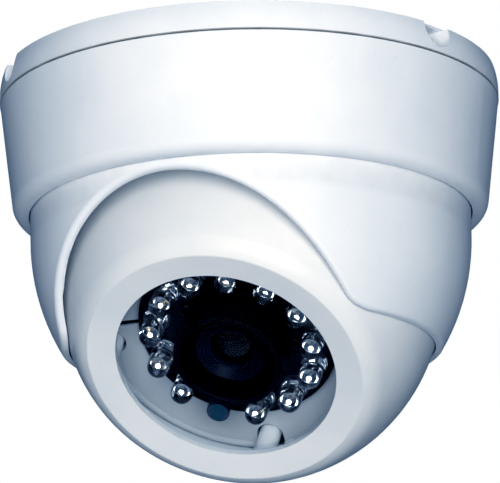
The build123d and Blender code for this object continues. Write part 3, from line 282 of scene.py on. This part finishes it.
def turned_black(name):
    """The lens barrel: satin black with fine turned rings on the face that looks forward."""
    ring_pitch = 0.00022
    n = Nodes(name)
    rings = n.maths("SINE", n.maths("MULTIPLY", n.axis_distance(), 2 * math.pi / ring_pitch))
    cloud = n.span(n.noise(500.0, 3.0), 0.35, 0.7)
    base = n.blend(cloud, (0.003, 0.0035, 0.007, 1), (0.005, 0.006, 0.012, 1))
    gloss = n.span(n.noise(300.0), 0.3, 0.7, 0.36, 0.5)
    normal = n.bump(rings, 0.25, 0.00003)
    normal = n.bump(n.noise(3800.0), 0.2, 0.00002, normal)
    n.shade(Base_Color=base, Roughness=gloss, Normal=normal, IOR=1.5, Specular_IOR_Level=0.25)
    return n.material


# ---- Mesh helpers ----
def lathe(mesh, profile, steps, place, flat=None):
    """Turns (radius, height) points about the local z. flat holds x back on one side, as on a lamp."""
    rings = []
    for radius, height in profile:
        if radius == 0:
            rings.append([mesh.verts.new(place @ Vector((0, 0, height)))])
            continue
        ring = []
        for step in range(steps):
            angle = 2 * math.pi * step / steps
            x, y = radius * math.cos(angle), radius * math.sin(angle)
            if flat is not None:
                x = max(x, -flat)
            ring.append(mesh.verts.new(place @ Vector((x, y, height))))
        rings.append(ring)
    for low, high in zip(rings, rings[1:]):
        for step in range(steps):
            after = (step + 1) % steps
            sides = ((low, step), (low, after), (high, after), (high, step))
            corners = [ring[around % len(ring)] for ring, around in sides]
            # Where a ring is one point on the axis, two of the corners are one
            mesh.faces.new(list(dict.fromkeys(corners)))


def tube(mesh, points, radius, sides, place, flatness=1.0):
    """A closed tube along points. flatness squeezes it along the local z."""
    points = [Vector(p) for p in points]
    rings = []
    for index, point in enumerate(points):
        ahead = points[min(index + 1, len(points) - 1)] - points[max(index - 1, 0)]
        ahead.normalize()
        side = ahead.cross(Vector((0, 0, 1)))
        if side.length < 0.01:
            side = ahead.cross(Vector((0, 1, 0)))
        side.normalize()
        up = side.cross(ahead).normalized()
        ring = []
        for step in range(sides):
            angle = 2 * math.pi * (step + 0.5) / sides
            offset = side * math.cos(angle) * radius + up * math.sin(angle) * radius * flatness
            ring.append(mesh.verts.new(place @ (point + offset)))
        rings.append(ring)
    for low, high in zip(rings, rings[1:]):
        for step in range(sides):
            after = (step + 1) % sides
            mesh.faces.new((low[step], low[after], high[after], high[step]))
    mesh.faces.new(rings[0][::-1])
    mesh.faces.new(rings[-1])


def block(mesh, low, high, place):
    """A box between two corners."""
    spots = itertools.product(*zip(low, high))
    corners = [mesh.verts.new(place @ Vector(spot)) for spot in spots]
    for face in ((0, 1, 3, 2), (4, 6, 7, 5), (0, 4, 5, 1), (2, 3, 7, 6), (0, 2, 6, 4), (1, 5, 7, 3)):
        mesh.faces.new([corners[i] for i in face])


def piece(mesh, name, body, material, sharp=35.0, bevel=None):
    """Turns a bmesh into a piece that rides on a CAD body."""
    bmesh.ops.recalc_face_normals(mesh, faces=mesh.faces)
    data = bpy.data.meshes.new(name)
    mesh.to_mesh(data)
    mesh.free()
    data.polygons.foreach_set("use_smooth", [True] * len(data.polygons))
    data.set_sharp_from_angle(angle=math.radians(sharp))
    data.materials.append(material)
    made = bpy.data.objects.new(name, data)
    bpy.context.scene.collection.objects.link(made)
    if bevel:
        rounding = made.modifiers.new("rounding", "BEVEL")
        rounding.width = bevel
        rounding.segments = 2
        rounding.limit_method = "ANGLE"
    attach(made, body)
    return made


def finish_of(material, *names):
    """Gives CAD nodes their finish."""
    for name in names:
        data = nodes[name].data
        data.materials.clear()
        data.materials.append(material)


# ---- Finishes of the CAD nodes ----
WHITE = (0.83, 0.835, 0.84, 1)
housing = moulded("housing_plastic", WHITE, roughness=0.4, seam=SEAM_HEIGHT)
finish_of(housing, "base_plate", "cover_collar")
finish_of(moulded("turret_plastic", WHITE, roughness=0.4), "turret_dome")
ball_plastic = moulded("ball_plastic", (0.785, 0.78, 0.765, 1), roughness=0.38)
finish_of(ball_plastic, "ball_front_shell", "ball_rear_shell")
finish_of(moulded("carrier_plastic", (0.49, 0.485, 0.48, 1), roughness=0.5, grain=0.5), "lens_carrier")
black_plastic = moulded("black_plastic", (0.02, 0.021, 0.024, 1), roughness=0.5, grain=0.4)
finish_of(black_plastic, "lens_holder", "processor_chip")
finish_of(moulded("chip_ceramic", (0.06, 0.06, 0.065, 1), roughness=0.45), "led_resistors", "image_sensor")
finish_of(moulded("connector_plastic", (0.72, 0.7, 0.62, 1), roughness=0.45), "signal_connector")

soft_black = rubber("rubber", (0.0025, 0.003, 0.0045, 1), sheen=0.22)
finish_of(soft_black, "pan_friction_ring", "cable_grommet", "lens_hood")
finish_of(rubber("gasket_silicone", (0.42, 0.44, 0.46, 1), roughness=0.4), "window_gasket")

spring_steel = metal("spring_steel", (0.55, 0.56, 0.58, 1), 0.3)
finish_of(spring_steel, "turret_snap_ring", "tilt_yoke", "roll_spring_washer")
screw_steel = metal("screw_steel", (0.66, 0.66, 0.68, 1), 0.24)
finish_of(screw_steel, "roll_pivot_screw", "roll_pivot_nut", "shell_screws", "carrier_screws",
          "lens_holder_screws")
finish_of(metal("screw_black", (0.035, 0.036, 0.042, 1), 0.3), "led_board_screws")
finish_of(metal("lock_ring_metal", (0.32, 0.31, 0.3, 1), 0.35), "lens_lock_ring")
finish_of(metal("capacitor_metal", (0.72, 0.73, 0.75, 1), 0.3), "board_capacitors")

black_board = board("board_black", (0.002, 0.0025, 0.0045, 1), 0.2)
finish_of(black_board, "led_board")
finish_of(board("board_green", (0.012, 0.09, 0.03, 1)), "main_board")

finish_of(pane("window_clear", (0.965, 0.975, 0.985, 1), 0.04), "window")
finish_of(turned_black("lens_barrel_black"), "lens_barrel")
# The lens glass is tinted nearly black: painted shade standing in for the dark inside of the lens.
finish_of(clear("lens_glass", (0.1, 0.12, 0.2, 1), 0.0, 1.5, 0.6), "front_lens", "rear_lens")
finish_of(clear("filter_glass", (0.75, 0.9, 0.92, 1), 0.0, 1.5), "infrared_filter")

# ---- Infrared lamps: clear resin round a lead frame with a cup, a die and a bond wire ----
# Lengths are in millimetres from the lamp's foot, angles in degrees
LAMP_RADIUS = 2.5
LAMP_SHOULDER = 6.1
LAMP_STEPS = 48
DOME_SHARE = 0.985
DOME_STEPS = 14
FLANGE_RADIUS = 2.9
FLANGE_FLAT = 2.62
LAMP_LEAN = 2.5
LAMP_TURN = 8
LEAD_OFFSET = 1.27
LEAD_HALF = 0.25
LEAD_FOOT = -1.2
FRAME_HALF = 0.22
FRAME_BOTTOM = 2.0
CUP_SHIFT = -0.15
CUP_STEPS = 24
DIE_HALF = 0.2
DIE_BOTTOM = 4.95
DIE_TOP = 5.15
WIRE_RADIUS = 0.035
WIRE_REACH = 1.45
WIRE_DROP = 0.45
WIRE_HUMP = 0.9
WIRE_STEPS = 10

dome = []
for step in range(DOME_STEPS):
    rise = step * math.pi / (2 * DOME_STEPS)
    dome.append((LAMP_RADIUS * DOME_SHARE * math.cos(rise), LAMP_SHOULDER + LAMP_RADIUS * math.sin(rise)))
flange = [(0, 0.02), (2.6, 0.02), (2.84, 0.1), (FLANGE_RADIUS, 0.22), (FLANGE_RADIUS, 0.86), (2.84, 0.98),
          (2.56, 1.02)]
lamp_profile = flange + [(2.5, 1.12), (2.5, 2.5), (2.48, 4.2)] + dome + [(0, LAMP_SHOULDER + LAMP_RADIUS)]
cup_outside = [(0, 3.2), (0.7, 3.3), (0.82, 4.6), (1.2, 5.3)]
cup_inside = [(1.14, 5.36), (0.95, 5.08), (0.65, 4.86), (0.3, 4.74), (0, 4.7)]
bond = []
for step in range(WIRE_STEPS + 1):
    along = step / WIRE_STEPS
    hump = WIRE_HUMP * math.sin(math.pi * along)
    bond.append((CUP_SHIFT + WIRE_REACH * along, 0, DIE_TOP - WIRE_DROP * along + hump))


def lead_frame(mesh, place):
    """Two leads rise from the board: one widens into the cup's pillar, the other into a flag."""
    for x in (-LEAD_OFFSET, LEAD_OFFSET):
        block(mesh, (x - LEAD_HALF, -LEAD_HALF, LEAD_FOOT), (x + LEAD_HALF, LEAD_HALF, FRAME_BOTTOM), place)
    block(mesh, (-1.5, -FRAME_HALF, FRAME_BOTTOM), (0.35, FRAME_HALF, 3.3), place)
    lathe(mesh, cup_outside + cup_inside, CUP_STEPS, place @ Matrix.Translation((CUP_SHIFT, 0, 0)))
    block(mesh, (0.95, -FRAME_HALF, FRAME_BOTTOM), (1.6, FRAME_HALF, 3.6), place)
    block(mesh, (1.1, -FRAME_HALF, 3.6), (1.6, FRAME_HALF, 4.7), place)


rng = random.Random(7)
resin, frames, dies, wires = bmesh.new(), bmesh.new(), bmesh.new(), bmesh.new()
for ring_place in range(1, RING_PLACES):
    angle = math.radians(SENSOR_ANGLE + 360 / RING_PLACES * ring_place)
    lean = Matrix.Rotation(math.radians(rng.uniform(-LAMP_LEAN, LAMP_LEAN)), 4, "X")
    lean = lean @ Matrix.Rotation(math.radians(rng.uniform(-LAMP_LEAN, LAMP_LEAN)), 4, "Y")
    uneven_turn = math.radians(rng.uniform(-LAMP_TURN, LAMP_TURN))
    turn = Matrix.Rotation(angle + uneven_turn + math.pi / 2, 4, "Z")
    spot = Vector((LED_RING_RADIUS * math.cos(angle), LED_RING_RADIUS * math.sin(angle), BOARD_FRONT))
    place = BALL_FRAME @ Matrix.Translation(spot) @ lean @ turn
    lathe(resin, lamp_profile, LAMP_STEPS, place, flat=FLANGE_FLAT)
    lead_frame(frames, place)
    block(dies, (-0.35, -DIE_HALF, DIE_BOTTOM), (0.05, DIE_HALF, DIE_TOP), place)
    tube(wires, bond, WIRE_RADIUS, 6, place)
lamp_epoxy = clear("lamp_epoxy", (0.95, 0.965, 0.99, 1), 0.0, 1.53)
lamps = piece(resin, "ir_lamp_domes", "eyeball", lamp_epoxy, sharp=50)
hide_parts("ir_leds")
frame_metal = metal("lead_frame", (0.93, 0.92, 0.9, 1), 0.13)
piece(frames, "ir_lamp_lead_frames", "eyeball", frame_metal, bevel=0.00004)
piece(dies, "ir_lamp_dies", "eyeball", metal("lamp_die", (0.55, 0.52, 0.55, 1), 0.3))
gold = metal("bond_wire", (0.95, 0.68, 0.32, 1), 0.2)
piece(wires, "ir_lamp_bond_wires", "eyeball", gold)

# ---- Light sensor: a coated disc with a serpentine track on a teal face ----
# Lengths are in millimetres from the sensor's face
SENSOR_TURN = 6
SENSOR_STEPS = 48
SENSOR_BACK = -1.9
SENSOR_WIRE_RADIUS = 0.3
TRACK_HEIGHT = -0.04
TRACK_ROW_GAP = 0.5
TRACK_ROWS = 6
TRACK_FIELD = 1.75
TRACK_REACH = 0.92
TRACK_RADIUS = 0.12

sensor_angle = math.radians(SENSOR_ANGLE)
sensor_spot = Vector((LED_RING_RADIUS * math.cos(sensor_angle), LED_RING_RADIUS * math.sin(sensor_angle),
                      SENSOR_FACE))
sensor_turn = Matrix.Rotation(math.radians(SENSOR_TURN), 4, "Z")
sensor_place = BALL_FRAME @ Matrix.Translation(sensor_spot) @ sensor_turn
disc_side = [(0, -2.0), (2.3, -2.0), (2.5, -1.85), (2.55, -1.6), (2.55, -0.3)]
disc_rim = [(2.5, -0.12), (2.4, -0.02), (2.3, -0.02), (2.24, -0.1), (0, -0.1)]
disc = bmesh.new()
lathe(disc, disc_side + disc_rim, SENSOR_STEPS, sensor_place)
for x in (-LEAD_OFFSET, LEAD_OFFSET):
    wire = [(x, 0, BOARD_FRONT - SENSOR_FACE), (x, 0, SENSOR_BACK)]
    tube(disc, wire, SENSOR_WIRE_RADIUS, 12, sensor_place)
coating = moulded("sensor_coating", (0.012, 0.02, 0.035, 1), roughness=0.3)
sensor_body = piece(disc, "light_sensor_body", "eyeball", coating)
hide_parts("light_sensor")


def sensor_teal():
    n = Nodes("sensor_face")
    base = n.blend(n.span(n.noise(1600.0), 0.3, 0.7), (0.0, 0.055, 0.085, 1), (0.0, 0.085, 0.12, 1))
    n.shade(Base_Color=base, Roughness=0.25, Coat_Weight=0.6, Coat_Roughness=0.08,
            Normal=n.bump(n.noise(5000.0), 0.2, 0.00002))
    return n.material


film_profile = [(0, -0.09), (1.95, -0.09), (1.97, -0.06), (1.93, -0.045), (0, -0.045)]
film = bmesh.new()
lathe(film, film_profile, SENSOR_STEPS, sensor_place)
piece(film, "light_sensor_film", "eyeball", sensor_teal())
path = []
for row in range(TRACK_ROWS):
    y = (row - (TRACK_ROWS - 1) / 2) * TRACK_ROW_GAP
    reach = math.sqrt(TRACK_FIELD ** 2 - y ** 2) * TRACK_REACH
    if row % 2:
        reach = -reach
    path += [(-reach, y, TRACK_HEIGHT), (reach, y, TRACK_HEIGHT)]
track = bmesh.new()
tube(track, path, TRACK_RADIUS, 6, sensor_place, flatness=0.4)
track_ink = moulded("sensor_track", (0.003, 0.012, 0.022, 1), 0.35)
piece(track, "light_sensor_track", "eyeball", track_ink)

# ---- A black block in the carrier's slit: painted shadow, a dark thing put where the slit shows only shade ----
SLIT_SHADE_LOW = (-33.0, 4.2, 10.8)
SLIT_SHADE_HIGH = (-21.2, 5.2, 12.2)

slit_shade_block = bmesh.new()
block(slit_shade_block, SLIT_SHADE_LOW, SLIT_SHADE_HIGH, BALL_FRAME)
piece(slit_shade_block, "carrier_slit_shade_block", "eyeball", soft_black, bevel=0.0001)

# ---- Copper under the lamp board's mask: the runs between the lamps ----
COPPER_RADII = (16.1, 19.9)
COPPER_START = 11
COPPER_ARC = 5.5
COPPER_STEPS = 4
COPPER_HALF_WIDTH = 0.35
COPPER_FLATNESS = 0.12

copper = bmesh.new()
flat_board = BALL_FRAME @ Matrix.Translation((0, 0, BOARD_FRONT))
for ring_place in range(RING_PLACES):
    start = SENSOR_ANGLE + 360 / RING_PLACES * ring_place + COPPER_START
    for radius in COPPER_RADII:
        run = []
        for step in range(COPPER_STEPS + 1):
            angle = math.radians(start + COPPER_ARC * step / COPPER_STEPS)
            run.append((radius * math.cos(angle), radius * math.sin(angle), 0.0))
        tube(copper, run, COPPER_HALF_WIDTH, 6, flat_board, flatness=COPPER_FLATNESS)
piece(copper, "led_board_tracks", "eyeball", black_board, sharp=60)


# ---- Floor, light, camera ----
def pale_floor():
    n = Nodes("floor_paint")
    base = n.blend(n.noise(3.0, 4.0), grey(0.8), grey(0.84))
    n.shade(Base_Color=base, Roughness=0.75, Normal=n.bump(n.noise(90.0), 0.05, 0.001))
    return n.material


FLOOR_HEIGHT = -1.6
FLOOR_HALF = 1.2
ground = bmesh.new()
ground.faces.new([ground.verts.new((x * FLOOR_HALF, y * FLOOR_HALF, FLOOR_HEIGHT))
                  for x, y in ((-1, -1), (1, -1), (1, 1), (-1, 1))])
ground_data = bpy.data.meshes.new("floor")
ground.to_mesh(ground_data)
ground.free()
ground_data.materials.append(pale_floor())
floor = bpy.data.objects.new("floor", ground_data)
bpy.context.scene.collection.objects.link(floor)

AIM = Vector((0, 0, -0.038))
FOCAL_LENGTH = 344.6
FILM_WIDTH = 36.0
CAMERA_SHIFT = -0.0021
CAMERA_DISTANCE = 1.053
CAMERA_AZIMUTH = math.radians(21.2)
CAMERA_ELEVATION = math.radians(-16.0)
CAMERA_ROLL = math.radians(-0.73)


def direction(azimuth, elevation):
    """From the object towards a place at this azimuth and elevation, in radians."""
    return Vector((math.sin(azimuth) * math.cos(elevation), -math.cos(azimuth) * math.cos(elevation),
                   math.sin(elevation)))


lens = bpy.data.cameras.new("camera")
lens.lens = FOCAL_LENGTH
lens.sensor_width = FILM_WIDTH
lens.shift_x = CAMERA_SHIFT
lens.clip_start = 0.05
lens.clip_end = 20.0
camera = bpy.data.objects.new("camera", lens)
bpy.context.scene.collection.objects.link(camera)
back = direction(CAMERA_AZIMUTH, CAMERA_ELEVATION)
camera.location = AIM + back * CAMERA_DISTANCE
camera.rotation_mode = "QUATERNION"
roll = Matrix.Rotation(CAMERA_ROLL, 3, "Z").to_quaternion()
camera.rotation_quaternion = (-back).to_track_quat("-Z", "Y") @ roll
bpy.context.scene.camera = camera


def lamp(name, azimuth, elevation, distance, size, power, colour):
    """A round lamp that looks at the object. Angles are in degrees, distance and size in metres."""
    data = bpy.data.lights.new(name, "AREA")
    data.shape = "DISK"
    data.size = size
    data.energy = power
    data.color = colour
    made = bpy.data.objects.new(name, data)
    bpy.context.scene.collection.objects.link(made)
    towards = direction(math.radians(azimuth), math.radians(elevation))
    made.location = AIM + towards * distance
    made.rotation_mode = "QUATERNION"
    made.rotation_quaternion = (-towards).to_track_quat("-Z", "Y")
    return made


FLASH_WHITE = (1.0, 0.99, 0.98)
FILL_WHITE = (0.95, 0.97, 1.0)
FILL_BLUE = (0.85, 0.92, 1.0)
# One flash as two lamps: a broad one for the soft light, a small one for the glints
lamp("flash", 22.0, -10.5, 1.1, 0.8, 14.9, FLASH_WHITE).visible_glossy = False
lamp("flash_tube", 22.2, -11.0, 1.1, 0.07, 4.0, FLASH_WHITE).visible_diffuse = False
lamp("fill_left", -85.0, 5.0, 1.4, 0.9, 0.4, FILL_BLUE)
lamp("fill_right", 125.0, 5.0, 1.4, 0.9, 0.35, FILL_BLUE)
lamp("fill_back", 201.0, 32.0, 1.5, 0.6, 16.0, FLASH_WHITE)
lamp("fill_top", 30.0, 80.0, 1.5, 1.0, 3.0, FILL_WHITE)

# The camera sees a white room, the object feels only a little blue light from it
ROOM_LIGHT = (0.6, 0.75, 1.0, 1)
ROOM_STRENGTH = 0.085

world = bpy.data.worlds.new("studio")
bpy.context.scene.world = world
world.use_nodes = True
tree = world.node_tree
tree.nodes.clear()
seen = tree.nodes.new("ShaderNodeBackground")
seen.inputs["Color"].default_value = (1, 1, 1, 1)
felt = tree.nodes.new("ShaderNodeBackground")
felt.inputs["Color"].default_value = ROOM_LIGHT
felt.inputs["Strength"].default_value = ROOM_STRENGTH
choice = tree.nodes.new("ShaderNodeMixShader")
tree.links.new(tree.nodes.new("ShaderNodeLightPath").outputs["Is Camera Ray"], choice.inputs[0])
tree.links.new(felt.outputs[0], choice.inputs[1])
tree.links.new(seen.outputs[0], choice.inputs[2])
tree.links.new(choice.outputs[0], tree.nodes.new("ShaderNodeOutputWorld").inputs[0])


def display(light):
    """The sRGB curve, from light to shown value."""
    return 12.92 * light if light <= 0.0031308 else 1.055 * light ** (1 / 2.4) - 0.055


def linear(shown):
    """The sRGB curve, from shown value to light."""
    return shown / 12.92 if shown <= 0.04045 else ((shown + 0.055) / 1.055) ** 2.4


# The camera's response: firm contrast, with shadows that go cool
BLACK_LEVEL = 0.010
CURVE_LEVELS = (0.015, 0.04, 0.1, 0.2, 0.35, 0.55, 0.78)
RESPONSE_POWERS = (1.35, 1.15, 0.95)
grade = bpy.context.scene.view_settings
grade.view_transform = "Standard"
grade.use_curve_mapping = True
for curve, power in zip(grade.curve_mapping.curves, RESPONSE_POWERS):
    curve.points[0].location.x = BLACK_LEVEL
    for level in CURVE_LEVELS:
        above_black = (level - BLACK_LEVEL) / (1 - BLACK_LEVEL)
        curve.points.new(level, linear(display(above_black) ** power))
grade.curve_mapping.update()
